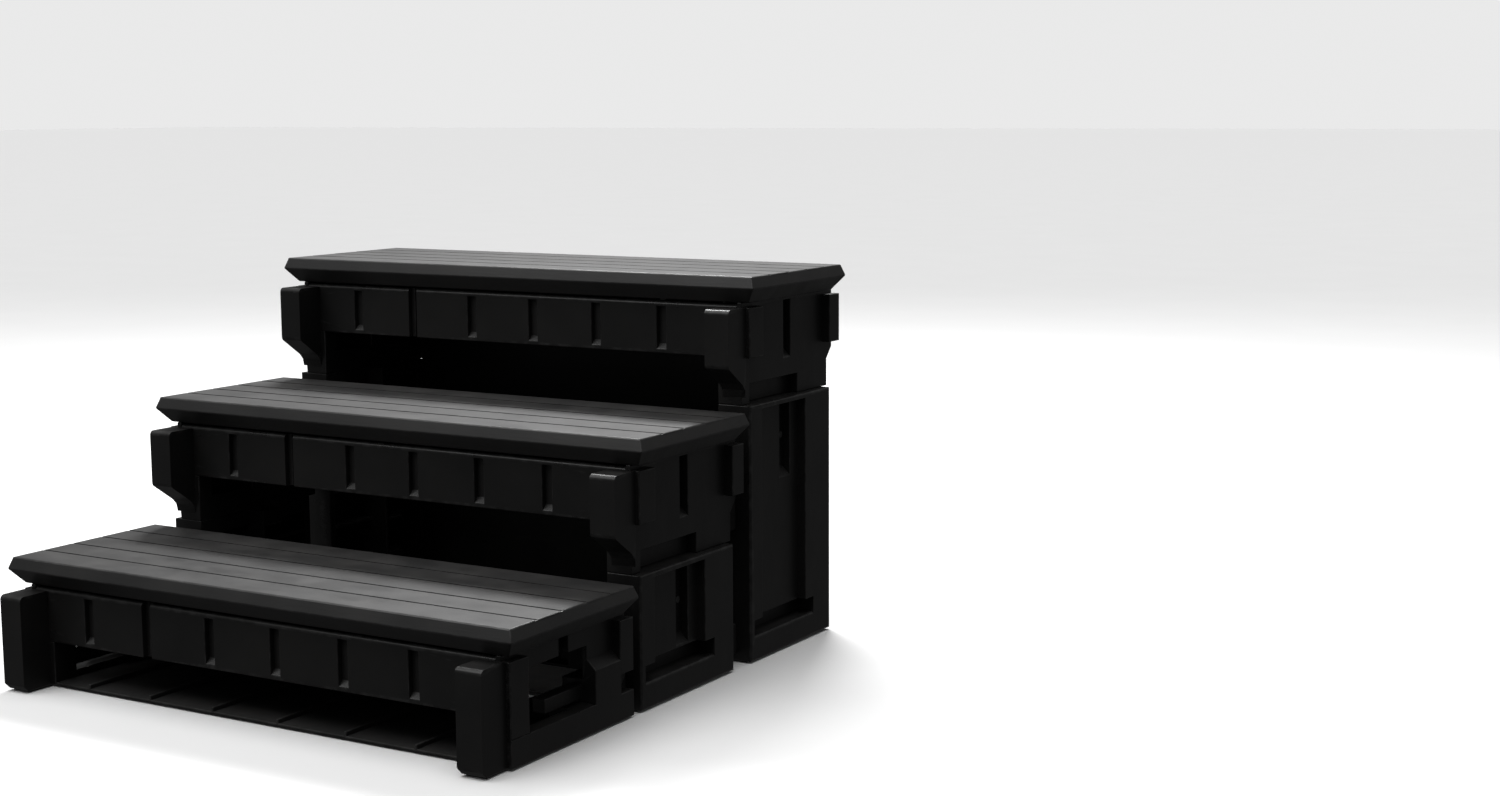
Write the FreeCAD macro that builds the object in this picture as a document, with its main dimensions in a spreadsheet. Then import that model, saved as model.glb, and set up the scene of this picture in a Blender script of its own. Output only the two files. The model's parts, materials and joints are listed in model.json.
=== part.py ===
"""Three-tier spa steps: moulded treads, planked risers and side frames on stacked supports.

Frame: +Z up, the climb goes towards +Y, origin at the centre of the footprint on the floor.
A level's own origin is the middle of its tread's front top edge, so z = 0 there is the
walking surface and every level is built from the same numbers.
"""
import FreeCAD
import Part
import Sketcher
import os
import re

LEVELS = ("lower", "middle", "upper")
SIDES = ("left", "right")

SIZES = (
    ("tread_width", 880, "flat top of a tread, left to right"),
    ("tread_depth", 275, "flat top of a tread, front to back"),
    ("bevel_out", 6, "how far the nosing ridge stands outside the flat top"),
    ("bevel_height", 17, "flat top down to the nosing ridge"),
    ("undercut_in", 17, "ridge back in to the tread's underside"),
    ("undercut_height", 22, "ridge down to the underside"),
    ("nosing_round", 3, "rounding of a tread's top edge"),
    ("tread_skin", 4.5, "thickness of the walking surface"),
    ("tread_rim", 6, "wall round the underside"),
    ("rib", 4, "stiffening rib"),
    ("tread_cells_x", 11, "underside cells across"),
    ("tread_cells_y", 5, "underside cells deep, one per plank"),
    ("plank_groove", 5, "width of the groove between two tread planks"),
    ("plank_groove_depth", 1, "depth of that groove"),
    ("boss_radius", 9, "screw boss under a tread"),
    ("screw_inset", 34, "tread screw to the nearest board"),
    ("going", 297, "front edge to front edge of two treads"),
    ("first_rise", 186, "floor to the lower tread"),
    ("rise", 195, "tread to tread"),
    ("setback", 10, "riser face behind the tread's front top edge"),
    ("riser_top", 42, "riser top edge below the walking surface"),
    ("riser_height", 78, "height of a riser board"),
    ("riser_depth", 22, "front to back of a riser board"),
    ("riser_wall", 5, "front skin of a riser board"),
    ("riser_round", 6, "rounding of a riser board's top edge"),
    ("riser_half", 408, "centre to the end of the riser"),
    ("seam_out", 191, "centre to the seam between a riser's two boards"),
    ("plank_pitch", 117.4, "one plank of the long board"),
    ("short_plank", 112, "the short board's plank next to the seam"),
    ("riser_groove", 16, "width of the groove between two riser planks, and along the seam"),
    ("riser_groove_depth", 8, "depth of that groove"),
    ("riser_groove_foot", 6, "material left under that groove"),
    ("riser_lip", 8, "material left over that groove"),
    ("cell_width", 34, "width of a hollow behind a riser board"),
    ("board_screw_in", 15, "end of a board to the screws through it"),
    ("seam_gap", 0.6, "gap at each side of the seam between two boards"),
    ("slot_play", 0.5, "play behind a riser board in its slot"),
    ("over", 1, "how far a cutting shape reaches past the face that it cuts"),
    ("frame_inner", 376, "centre to the inner face of a side frame"),
    ("field", 417, "centre to the recessed outer field of a side frame"),
    ("frame_outer", 431, "centre to the outer face of pads and supports"),
    ("skin_inner", 409, "centre to the inner face of a frame's outer skin"),
    ("frame_drop", 190, "walking surface to the bottom of an upper side frame"),
    ("frame_back", 288, "back face of a side frame, behind the front top edge"),
    ("rear_board_face", 272, "outer face of the rear board"),
    ("shelf_drop", 120, "walking surface to the shelf that carries the boards"),
    ("frame_top_plate", 6, "plate under the tread, and the shelf's thickness"),
    ("post_reach", 40, "front post beyond the tread's front top edge"),
    ("post_inner", 384, "centre to the inner face of a front post"),
    ("post_outer", 424, "centre to the outer face of a front post"),
    ("post_top", 46, "post and pad top below the walking surface"),
    ("post_bevel", 8, "bevel at the foot of the lower post"),
    ("post_round", 7, "rounding of a post's top front edge"),
    ("lobe_drop", 130, "bottom of the post's straight front on the upper levels"),
    ("corbel_fall", 35, "how far the corbel under the lobe falls on its way back"),
    ("corbel_round", 14, "length of the rounded end of the corbel"),
    ("lobe_round", 8, "rounding at the bottom of the post's straight front"),
    ("front_pad", 40, "front corner pad, front to back"),
    ("rear_pad", 32, "rear corner pad, front to back"),
    ("pad_round", 2, "rounding of a pad's outer edges"),
    ("channel_centre", 145, "middle of the frame's vertical channel behind the edge"),
    ("channel_width", 21, "width of that channel"),
    ("channel_bottom", 132, "its lower end below the walking surface"),
    ("channel_depth", 14, "depth of a vertical channel"),
    ("channel_rib", 38, "solid rib behind that channel"),
    ("foot_height", 3, "rubber foot strip"),
    ("flange_height", 40, "top of the base flange above the floor"),
    ("base_groove", 24, "height of the shadow groove over the base flange"),
    ("base_groove_front", 10, "riser plane to the front end of that groove"),
    ("base_groove_long", 182, "length of a shadow groove"),
    ("frame_slot", 30, "height of the shadow slot at the foot of an upper side frame"),
    ("slot_front", 22, "riser plane to the front end of that slot"),
    ("slot_length", 145, "length of that slot"),
    ("slot_depth", 30, "depth of a slot or base groove from the outer face"),
    ("support_back", 257, "back face of a support behind the front top edge"),
    ("support_front_strip", 35, "proud strip at a support's front"),
    ("support_field", 132, "recessed field of a support, front to back"),
    ("support_channel", 31, "width of a support's vertical channel"),
    ("support_channel_at", 137, "middle of that channel behind the front edge"),
    ("support_channel_fall", 115, "length of that channel"),
    ("support_rim", 8, "solid rim at the top of a support"),
    ("ledge_round", 4, "rounding of a support's outer edges"),
    ("nub_fall", 52, "top of a channel down to the nub in it"),
    ("nub_radius", 5, "nub in a channel"),
    ("web", 6, "thickness of a support's web"),
    ("support_wall", 12, "thickness of a support's front and back walls"),
    ("inner_rib", 30, "how far the box round a channel stands in from a support's inner face"),
    ("window_front", 50, "front edge of the lower frame's window"),
    ("window_length", 147, "length of that window"),
    ("window_height", 78, "height of that window above the base flange"),
    ("pocket_length", 115, "part of the window where the inside drops below the sill"),
    ("pocket_floor", 14, "floor of that part above the frame's foot"),
    ("grip_start", 62, "window's front edge to the grip bar"),
    ("grip_top", 25, "top of the grip bar above the window's sill"),
    ("grip_height", 20, "height of the grip bar"),
    ("grip_inner", 389, "centre to the inner face of the grip bar"),
    ("shoulder_drop", 86, "top of the slope behind the window, below the walking surface"),
    ("dowel_radius", 6, "locating dowel"),
    ("dowel_half", 12, "half of a dowel's length"),
    ("dowel_front", 18, "riser plane to the front dowel"),
    ("dowel_rear", 22, "rear dowel to the support's back"),
    ("link_height", 46, "height of a tier link"),
    ("link_width", 26, "width of a tier link"),
    ("link_lift", 10, "bottom of a tier link above the foot of its frame"),
    ("link_inset", 3, "inner face of a side frame to a tier link"),
    ("peg_radius", 7, "hole for the peg on each end of a tier link"),
    ("peg_length", 8, "length of that hole"),
    ("peg_play", 0.1, "play round a peg"),
    ("splice_width", 140, "splice plate behind a board seam"),
    ("splice_height", 58, "height of that plate"),
    ("splice_depth", 4, "its thickness"),
    ("splice_screw_z", 18, "middle of a splice plate to its screws"),
    ("tray_thickness", 4, "base tray between two supports"),
    ("tray_rib", 6, "height of the ribs on a base tray"),
    ("panel_thickness", 6, "back panel"),
    ("panel_side", 24, "how far the panel lies behind a support"),
    ("panel_gap", 0.8, "gap round the back panel"),
    ("panel_groove", 2.5, "depth of the grooves between the panel's planks"),
    ("panel_screw_low", 90, "lowest screw in the back panel above the floor"),
    ("panel_screw_pitch", 90, "one panel screw to the next"),
    ("foot_inset", 4, "edge of a piece to its foot strip"),
    ("screw_radius", 2.5, "self-tapping screw"),
    ("screw_head", 5.5, "its head's radius"),
    ("screw_head_height", 3, "its head's thickness"),
    ("screw_length", 18, "its length under the head"),
)
NAMES = {alias for alias, value, note in SIZES}
THICKNESS = "(bevel_height + undercut_height)"
GROOVES = {"long": 4, "short": 1}
CELLS = {"long": 10, "short": 3}
PLANK_LINES = sum(GROOVES.values()) + 1
PANEL_SCREWS = 4
LEAST_CUT = 0.5

doc = FreeCAD.newDocument("spa_steps")
sub_parts = {}
cuts = []


def make_sheet():
    """The driving dimensions, one named cell each."""
    sheet = doc.addObject("Spreadsheet::Sheet", "Sizes")
    for row, (alias, value, note) in enumerate(SIZES, start=1):
        sheet.set(f"A{row}", alias)
        sheet.set(f"B{row}", str(value))
        sheet.set(f"C{row}", note)
        sheet.setAlias(f"B{row}", alias)
    doc.recompute()


def bound(text):
    """An expression in which every cell's name is written as Sizes.name."""
    def cell(word):
        return f"Sizes.{word[0]}" if word[0] in NAMES else word[0]

    return re.sub(r"[a-z_]+", cell, str(text))


def bind(thing, target, text):
    thing.setExpression(target, bound(text))


def make_body(node):
    body = doc.addObject("PartDesign::Body", node)
    body.Label = node
    sub_parts[node] = body
    return body


def origin_feature(body, role):
    return next(feature for feature in body.Origin.OriginFeatures if feature.Role == role)


def blank_sketch(body, role, place):
    """An empty sketch on one of the body's origin planes, shifted in that plane's own axes."""
    sketch = body.newObject("Sketcher::SketchObject", "Outline")
    sketch.AttachmentSupport = [(origin_feature(body, role), "")]
    sketch.MapMode = "FlatFace"
    for axis, text in zip("xyz", place):
        bind(sketch, f"AttachmentOffset.Base.{axis}", text)
    return sketch


def dimension(sketch, constraint, name, text):
    index = sketch.addConstraint(constraint)
    sketch.renameConstraint(index, name)
    bind(sketch, f"Constraints.{name}", text)


def closed_lines(sketch, points):
    """Straight edges through the points and back to the first, joined end to end."""
    count = len(points)
    corners = [FreeCAD.Vector(across, along, 0) for across, along in points]
    edges = [Part.LineSegment(corners[i], corners[(i + 1) % count]) for i in range(count)]
    sketch.addGeometry(edges, False)
    joins = [Sketcher.Constraint("Coincident", i, 2, (i + 1) % count, 1) for i in range(count)]
    sketch.addConstraint(joins)


def rectangle(body, place, size, role="XY_Plane"):
    """A rectangle with its corner at place and its two sides as in size."""
    sketch = blank_sketch(body, role, place)
    closed_lines(sketch, ((0, 0), (10, 0), (10, 10), (0, 10)))
    for edge, direction in enumerate(("Horizontal", "Vertical", "Horizontal", "Vertical")):
        sketch.addConstraint(Sketcher.Constraint(direction, edge))
    sketch.addConstraint(Sketcher.Constraint("Coincident", 0, 1, -1, 1))
    dimension(sketch, Sketcher.Constraint("DistanceX", 0, 1, 0, 2, 10), "width", size[0])
    dimension(sketch, Sketcher.Constraint("DistanceY", 1, 1, 1, 2, 10), "height", size[1])
    return sketch


def outline(body, role, offset, points):
    """A closed polygon whose corners are bound to the sheet; each point is a pair of expressions."""
    sketch = blank_sketch(body, role, ("0", "0", offset))
    closed_lines(sketch, [(evaluate(across), evaluate(along)) for across, along in points])
    for corner, place in enumerate(points):
        for kind, name, text in zip(("DistanceX", "DistanceY"), ("across", "along"), place):
            constraint = Sketcher.Constraint(kind, -1, 1, corner, 1, evaluate(text))
            dimension(sketch, constraint, f"{name}{corner}", text)
    return sketch


def evaluate(text):
    """The number that an expression of cell names stands for."""
    total = doc.Sizes.evalExpression(bound(text))
    return float(getattr(total, "Value", total))


def circle(body, role, place, radius):
    sketch = blank_sketch(body, role, place)
    sketch.addGeometry(Part.Circle(FreeCAD.Vector(0, 0, 0), FreeCAD.Vector(0, 0, 1), 5), False)
    sketch.addConstraint(Sketcher.Constraint("Coincident", 0, 3, -1, 1))
    dimension(sketch, Sketcher.Constraint("Radius", 0, 5), "radius", radius)
    return sketch


def pad(body, sketch, length, backwards=False, taper=None):
    feature = body.newObject("PartDesign::Pad", "Pad")
    feature.Profile = sketch
    feature.Reversed = backwards
    bind(feature, "Length", length)
    if taper:
        bind(feature, "TaperAngle", taper)
    return feature


def pocket(body, sketch, length):
    """Cuts along the sketch's own normal, and notes what it cut from for the volume check."""
    before = body.Tip
    feature = body.newObject("PartDesign::Pocket", "Pocket")
    feature.Profile = sketch
    feature.Reversed = True
    bind(feature, "Length", length)
    cuts.append((before, feature))
    return feature


def block(body, low, size):
    """Adds a box: its low corner, then its width, depth and height."""
    return pad(body, rectangle(body, low, size[:2]), size[2])


def hollow(body, low, size):
    """Cuts a box."""
    return pocket(body, rectangle(body, low, size[:2]), size[2])


def bore(body, role, place, radius, length):
    return pocket(body, circle(body, role, place, radius), length)


def repeat(body, feature, axis, length, count, axis_2=None, length_2=None, count_2=None):
    """The feature again along one axis, or on a grid along two; lengths are first to last."""
    pattern = body.newObject("PartDesign::LinearPattern", "Pattern")
    pattern.Originals = [feature]
    pattern.Direction = (origin_feature(body, axis), [""])
    bind(pattern, "Length", length)
    bind(pattern, "Occurrences", count)
    if axis_2:
        pattern.Direction2 = (origin_feature(body, axis_2), [""])
        bind(pattern, "Length2", length_2)
        bind(pattern, "Occurrences2", count_2)
    body.Tip = pattern
    if feature.TypeId == "PartDesign::Pocket":
        cuts.append((feature, pattern))
    return pattern


def soften(body, radius, wanted):
    """Rounds every edge of the body so far whose bounding box passes the test."""
    doc.recompute()
    base = body.Tip
    names = [f"Edge{i}" for i, edge in enumerate(base.Shape.Edges, start=1) if wanted(edge.BoundBox)]
    feature = body.newObject("PartDesign::Fillet", "Fillet")
    feature.Base = (base, names)
    bind(feature, "Radius", radius)
    return feature


def near(value, target):
    return abs(value - target) < 0.01


def crosswise_at(behind, up):
    """A test for the edge that runs from side to side at this distance behind and height."""
    y, z = evaluate(behind), evaluate(up)

    def wanted(box):
        return near(box.YMin, y) and near(box.YMax, y) and near(box.ZMin, z) and near(box.ZMax, z)

    return wanted


def on_outer_face(box):
    """An edge that lies in the outer face of the pads and supports."""
    outer = evaluate("frame_outer")
    return near(abs(box.XMin), outer) and near(abs(box.XMax), outer)


def front_edge(level):
    """Where the front top edge of a level's tread lies, from the middle of the footprint."""
    return f"({level} * going - (2 * going + frame_back - post_reach) / 2)"


def surface(level):
    """The height of a level's walking surface."""
    return f"(first_rise + {level} * rise)"


def at_level(body, level, behind="0", up=None):
    """Puts a body that is drawn about its level's own origin where that level is."""
    bind(body, "Placement.Base.y", f"{front_edge(level)} + {behind}")
    bind(body, "Placement.Base.z", surface(level) if up is None else up)


def across(side, inner, outer):
    """Start and width of a span that lies between two distances from the centre plane."""
    start = inner if side == "right" else f"-({outer})"
    return start, f"({outer}) - ({inner})"


def from_plane(side, distance):
    return distance if side == "right" else f"-({distance})"


def make_tread(level):
    """A moulded tread: bevelled nosing all round, five planks on top, cells underneath."""
    body = make_body(f"tread_{LEVELS[level]}")
    ridge = rectangle(
        body,
        ("-tread_width / 2 - bevel_out", "-bevel_out", "-bevel_height"),
        ("tread_width + 2 * bevel_out", "tread_depth + 2 * bevel_out"),
    )
    pad(body, ridge, "bevel_height", taper="-atan(bevel_out / bevel_height)")
    pad(body, ridge, "undercut_height", backwards=True, taper="-atan(undercut_in / undercut_height)")
    soften(body, "nosing_round", lambda box: near(box.ZMin, 0) and near(box.ZMax, 0))
    plank = "tread_depth / tread_cells_y"
    groove = hollow(
        body,
        ("-tread_width / 2 - bevel_out", f"{plank} - plank_groove / 2", "-plank_groove_depth"),
        ("tread_width + 2 * bevel_out", "plank_groove", "plank_groove_depth + over"),
    )
    repeat(body, groove, "Y_Axis", f"{plank} * (tread_cells_y - 2)", "tread_cells_y - 1")
    make_tread_cells(body)
    for x, y in screw_places():
        boss = circle(body, "XY_Plane", (x, y, f"-{THICKNESS}"), "boss_radius")
        pad(body, boss, f"{THICKNESS} - tread_skin / 2")
    for x, y in screw_places():
        bore(body, "XY_Plane", (x, y, f"-{THICKNESS}"), "screw_radius", "screw_length - frame_top_plate")
    at_level(body, level)


def make_tread_cells(body):
    """The grid of cells under a tread, inside its rim."""
    margin = "(undercut_in - bevel_out + tread_rim)"
    wide = f"(tread_width - 2 * {margin})"
    deep = f"(tread_depth - 2 * {margin})"
    cell_x = f"(({wide} - (tread_cells_x - 1) * rib) / tread_cells_x)"
    cell_y = f"(({deep} - (tread_cells_y - 1) * rib) / tread_cells_y)"
    corner = (f"-{wide} / 2", margin, f"-{THICKNESS}")
    cell = hollow(body, corner, (cell_x, cell_y, f"{THICKNESS} - tread_skin"))
    repeat(
        body, cell,
        "X_Axis", f"{wide} - {cell_x}", "tread_cells_x",
        "Y_Axis", f"{deep} - {cell_y}", "tread_cells_y",
    )


def screw_places():
    """Where the side frames' screws enter a tread."""
    return [
        (from_plane(side, "(frame_inner + skin_inner) / 2"), y)
        for side in SIDES
        for y in ("setback + riser_depth + screw_inset", "rear_board_face - riser_depth - screw_inset")
    ]


def board_screw_falls():
    """The two screw heights on a board's end, below its top edge."""
    return ("riser_height / 4", "3 * riser_height / 4")


def make_board(level, row, piece):
    """A riser board: planks in front, hollows behind, screw holes at both ends."""
    body = make_body(f"{row}_board_{LEVELS[level]}_{piece}")
    start, length = board_span(piece)
    block(body, (start, "setback", "-riser_top - riser_height"), (length, "riser_depth", "riser_height"))
    soften(body, "riser_round", crosswise_at("setback", "-riser_top"))
    make_board_grooves(body, piece)
    make_board_cells(body, piece)
    outer_end = from_plane("right" if piece == "long" else "left", "(riser_half - board_screw_in)")
    for fall in board_screw_falls():
        place = (outer_end, f"-riser_top - {fall}", "-setback - riser_depth")
        bore(body, "XZ_Plane", place, "screw_radius", "riser_depth")
    seam_end = f"-seam_out {'+' if piece == 'long' else '-'} plank_pitch / 2"
    for z in splice_screw_heights():
        place = (seam_end, f"-riser_top - riser_height / 2 + {z}", "-setback - riser_depth")
        bore(body, "XZ_Plane", place, "screw_radius", "screw_length - splice_depth")
    if row == "front":
        at_level(body, level)
    else:
        body.Placement.Rotation = FreeCAD.Rotation(FreeCAD.Vector(0, 0, 1), 180)
        at_level(body, level, behind="rear_board_face + setback")


def board_span(piece):
    """Start and length of the long board, right of the seam, or of the short one, left of it."""
    if piece == "long":
        return "(seam_gap - seam_out)", "riser_half + seam_out - seam_gap"
    return "-riser_half", "riser_half - seam_out - seam_gap"


def make_board_grooves(body, piece):
    """The grooves between planks, with a sloping foot and a closed top, and the seam's open one."""
    first = "plank_pitch - seam_out" if piece == "long" else "-seam_out - short_plank"
    foot = "(riser_groove_foot - riser_top - riser_height)"
    lip = "(-riser_top - riser_lip)"
    profile = outline(
        body, "YZ_Plane", f"{first} - riser_groove / 2",
        (
            ("setback - over", f"{foot} - over"),
            ("setback + riser_groove_depth", f"{foot} + riser_groove_depth"),
            ("setback + riser_groove_depth", lip),
            ("setback - over", lip),
        ),
    )
    groove = pocket(body, profile, "riser_groove")
    count = GROOVES[piece]
    if count > 1:
        repeat(body, groove, "X_Axis", f"{count - 1} * plank_pitch", count)
    hollow(
        body,
        ("-seam_out - riser_groove / 2", "setback - over", "-riser_top - riser_height - over"),
        ("riser_groove", "riser_groove_depth + over", "riser_height + 2 * over"),
    )


def make_board_cells(body, piece):
    """A row of hollows, two to a plank; the outer end, which is screwed to a frame, stays solid."""
    count = CELLS[piece]
    pitch, first = "plank_pitch / 2", "plank_pitch / 4 - seam_out"
    if piece == "short":
        pitch, first = "short_plank / 2", f"-seam_out - short_plank / 4 - {count - 1} * short_plank / 2"
    low = "(-riser_top - riser_height + riser_wall)"
    cell = hollow(
        body,
        (f"{first} - cell_width / 2", "setback + riser_wall", low),
        ("cell_width", "riser_depth", "riser_height - 2 * riser_wall"),
    )
    repeat(body, cell, "X_Axis", f"{count - 1} * {pitch}", count)


def frame_foot(level):
    """The height of a side frame's foot from its walking surface; the lowest stands on its foot strip."""
    return "(foot_height - first_rise)" if level == 0 else "(-frame_drop)"


def make_frame(level, side):
    """A side frame: outer skin, inner box, front post, corner pads and a vertical channel."""
    body = make_body(f"side_frame_{LEVELS[level]}_{side}")
    foot = frame_foot(level)
    make_frame_skin(body, side, foot)
    make_frame_box(body, side, foot)
    make_post(body, side, foot, on_floor=level == 0)
    make_pads(body, side, "(flange_height - first_rise)" if level == 0 else "-shelf_drop")
    if level == 0:
        make_base(body, side, foot)
    top = f"-{THICKNESS} - frame_top_plate"
    cut_channel(body, side, "channel_centre", "channel_width", "-channel_bottom", top)
    make_frame_cells(body, side, level)
    if level == 0:
        make_window(body, side, foot)
    else:
        start, width = across(side, "frame_outer - slot_depth", "frame_outer + over")
        hollow(body, (start, "setback + slot_front", foot), (width, "slot_length", "frame_slot"))
        for y in dowel_places():
            bore(body, "XY_Plane", (dowel_x(side), y, foot), "dowel_radius", "dowel_half")
    make_frame_screw_holes(body, side)
    if level < 2:
        place = (link_x(side), f"{foot} + link_height / 2 + link_lift", "-rear_board_face")
        bore(body, "XZ_Plane", place, "peg_radius", "peg_length")
    at_level(body, level)


def make_frame_skin(body, side, foot):
    """The full-depth outer skin, with a sloping lower back corner."""
    start, width = across(side, "skin_inner", "field")
    skin = outline(
        body, "YZ_Plane", start,
        (
            ("setback", foot),
            ("setback", f"-{THICKNESS}"),
            ("frame_back", f"-{THICKNESS}"),
            ("frame_back", "-lobe_drop"),
            ("rear_board_face", "-lobe_drop - corbel_fall / 2"),
            ("rear_board_face", foot),
        ),
    )
    pad(body, skin, width)


def make_frame_box(body, side, foot):
    """The box inside the skin: above the shelf it stops short of the boards, which stand on the shelf."""
    start, width = across(side, "frame_inner", "skin_inner")
    slot = "setback + riser_depth + slot_play"
    rear_slot = "rear_board_face - riser_depth"
    box = outline(
        body, "YZ_Plane", start,
        (
            ("setback", foot),
            ("setback", "-shelf_drop"),
            (slot, "-shelf_drop"),
            (slot, f"-{THICKNESS}"),
            (rear_slot, f"-{THICKNESS}"),
            (rear_slot, "-shelf_drop"),
            ("rear_board_face", "-shelf_drop"),
            ("rear_board_face", foot),
        ),
    )
    pad(body, box, width)


def make_post(body, side, foot, on_floor):
    """The front post: down to the floor, or a lobe with a corbel under it on the upper levels."""
    start, width = across(side, "post_inner", "post_outer")
    if on_floor:
        lower = (
            ("setback", foot),
            ("-post_reach + post_bevel", foot),
            ("-post_reach", f"{foot} + post_bevel"),
        )
    else:
        corner = "-lobe_drop - corbel_fall"
        lower = (
            ("setback", f"{corner} - corbel_round"),
            ("setback - corbel_round / 5", f"{corner} - corbel_round / 9"),
            ("setback - 4 * corbel_round / 5", f"{corner} + 4 * corbel_round / 7"),
            ("-post_reach", "-lobe_drop"),
        )
    profile = lower + (("-post_reach", "-post_top"), ("setback", "-post_top"))
    pad(body, outline(body, "YZ_Plane", start, profile), width)
    soften(body, "post_round", crosswise_at("-post_reach", "-post_top"))
    if not on_floor:
        soften(body, "lobe_round", crosswise_at("-post_reach", "-lobe_drop"))


def make_pads(body, side, front_low):
    """The two raised corner pads on the outer face."""
    start, width = across(side, "field", "frame_outer")
    spans = (("setback", "front_pad", front_low), ("frame_back - rear_pad", "rear_pad", "-shelf_drop"))
    for front, deep, low in spans:
        block(body, (start, front, low), (width, deep, f"-post_top - ({low})"))
    soften(body, "pad_round", on_outer_face)


def make_base(body, side, foot):
    """The flange along the floor, and the slope from it up to the field behind the window."""
    start, width = across(side, "skin_inner", "frame_outer")
    block(body, (start, "setback", foot), (width, "frame_back - setback", "flange_height - foot_height"))
    flange_top = "(flange_height - first_rise)"
    inner = from_plane(side, "(field - over)")
    outer = from_plane(side, "frame_outer")
    slope = outline(
        body, "XZ_Plane", "-window_front - window_length",
        (
            (inner, flange_top),
            (outer, flange_top),
            (outer, "-shoulder_drop - channel_depth"),
            (inner, "-shoulder_drop"),
        ),
    )
    long = "frame_back - rear_pad + over - window_front - window_length"
    pad(body, slope, long, backwards=True)


def cut_channel(body, side, centre, width, low, top):
    """A vertical channel in the outer field, with a sloping lower end."""
    outer = from_plane(side, "(field + over)")
    inner = from_plane(side, "(field - channel_depth)")
    profile = outline(
        body, "XZ_Plane", f"-({centre}) - ({width}) / 2",
        (
            (outer, f"{low} - over"),
            (inner, f"{low} + channel_depth"),
            (inner, top),
            (outer, top),
        ),
    )
    pocket(body, profile, width)


def add_nub(body, side, y, z):
    """A round nub on the floor of a channel."""
    place = (y, z, from_plane(side, "(field - channel_depth - over)"))
    nub = circle(body, "YZ_Plane", place, "nub_radius")
    pad(body, nub, "channel_depth / 2 + over", backwards=side == "left")


def make_frame_cells(body, side, level):
    """Hollows from the inner face, clear of the channel's rib; the lower frame has none below its shelf."""
    start, width = across(side, "frame_inner", "skin_inner")
    front = "(setback + riser_depth + slot_play + rib + over)"
    rib_front = "(channel_centre - channel_rib / 2)"
    rib_back = "(channel_centre + channel_rib / 2)"
    back = "(rear_board_face - riser_depth - rib)"
    rows = [("-shelf_drop + frame_top_plate", f"shelf_drop - {THICKNESS} - 2 * frame_top_plate")]
    if level > 0:
        clear = "frame_drop - frame_slot - frame_top_plate"
        rows.append((f"-({clear})", f"{clear} - shelf_drop - frame_top_plate"))
    for low, tall in rows:
        hollow(body, (start, front, low), (width, f"{rib_front} - {front}", tall))
        hollow(body, (start, rib_back, low), (width, f"{back} - {rib_back}", tall))


def make_window(body, side, foot):
    """The lower frame's window: the inside drops below the sill, and a grip bar crosses its back part."""
    sill = "(flange_height - first_rise)"
    start, width = across(side, "frame_inner - over", "frame_outer + over")
    hollow(body, (start, "window_front", sill), (width, "window_length", "window_height"))
    start, width = across(side, "frame_inner - over", "skin_inner")
    hollow(
        body,
        (start, "window_front", f"{foot} + pocket_floor"),
        (width, "pocket_length", "flange_height - foot_height - pocket_floor"),
    )
    start, width = across(side, "grip_inner", "skin_inner")
    block(
        body,
        (start, "window_front + grip_start", f"{sill} + grip_top - grip_height"),
        (width, "window_length - grip_start", "grip_height"),
    )


def make_frame_screw_holes(body, side):
    """Holes for the tread's screws in the top plate and for the rear boards' screws behind."""
    for x, y in screw_places():
        if x.startswith("-") == (side == "left"):
            place = (x, y, f"-{THICKNESS} - frame_top_plate")
            bore(body, "XY_Plane", place, "screw_radius", "frame_top_plate")
    board_x = from_plane(side, "(riser_half - board_screw_in)")
    for fall in board_screw_falls():
        place = (board_x, f"-riser_top - {fall}", "-rear_board_face + riser_depth")
        bore(body, "XZ_Plane", place, "screw_radius", "rib")


def dowel_x(side):
    return from_plane(side, "((frame_inner + skin_inner) / 2)")


def dowel_places():
    return ("setback + dowel_front", "support_back - dowel_rear")


def link_x(side):
    return from_plane(side, "(frame_inner + link_width / 2 + link_inset)")


def support_top(level):
    return f"({surface(level)} - frame_drop)"


def make_support(level, side):
    """A support under an upper side frame: two strips, a web, a channel and a base groove."""
    body = make_body(f"support_{LEVELS[level]}_{side}")
    top = support_top(level)
    start, width = across(side, "frame_inner", "frame_outer")
    size = (width, "support_back - setback", f"{top} - foot_height")
    block(body, (start, "setback", "foot_height"), size)
    start, width = across(side, "frame_inner - inner_rib", "frame_inner")
    rib_place = (start, support_rib()[0], "flange_height")
    block(body, rib_place, (width, f"{support_rib()[1]} - {support_rib()[0]}", f"{top} - flange_height"))
    soften(body, "ledge_round", on_outer_face)
    start, width = across(side, "field", "frame_outer + over")
    above_base = "(flange_height + base_groove)"
    hollow(
        body,
        (start, "setback + support_front_strip", above_base),
        (width, "support_field", f"{top} - support_rim - {above_base}"),
    )
    start, width = across(side, "frame_outer - slot_depth", "frame_outer + over")
    hollow(
        body,
        (start, "setback + base_groove_front", "flange_height"),
        (width, "base_groove_long", "base_groove"),
    )
    sill = evaluate("flange_height")

    def at_sill(box):
        return on_outer_face(box) and near(box.ZMin, sill) and near(box.ZMax, sill)

    soften(body, "ledge_round", at_sill)
    channel_top = f"({top} - support_rim)"
    low = f"{channel_top} - support_channel_fall"
    cut_channel(body, side, "support_channel_at", "support_channel", low, channel_top)
    add_nub(body, side, "support_channel_at", f"{channel_top} - nub_fall")
    make_support_cells(body, level, side)
    for y in dowel_places():
        bore(body, "XY_Plane", (dowel_x(side), y, f"{top} - dowel_half"), "dowel_radius", "dowel_half")
    for height in link_heights(level):
        place = (link_x(side), height, "-setback - peg_length")
        bore(body, "XZ_Plane", place, "peg_radius", "peg_length")
    if level == 1:
        place = (link_x(side), link_height_at(0), "-support_back")
        bore(body, "XZ_Plane", place, "peg_radius", "peg_length")
    else:
        make_panel_bores(body, side, "support_back", "screw_length - panel_thickness")
    at_level(body, level, up="0")


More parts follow.
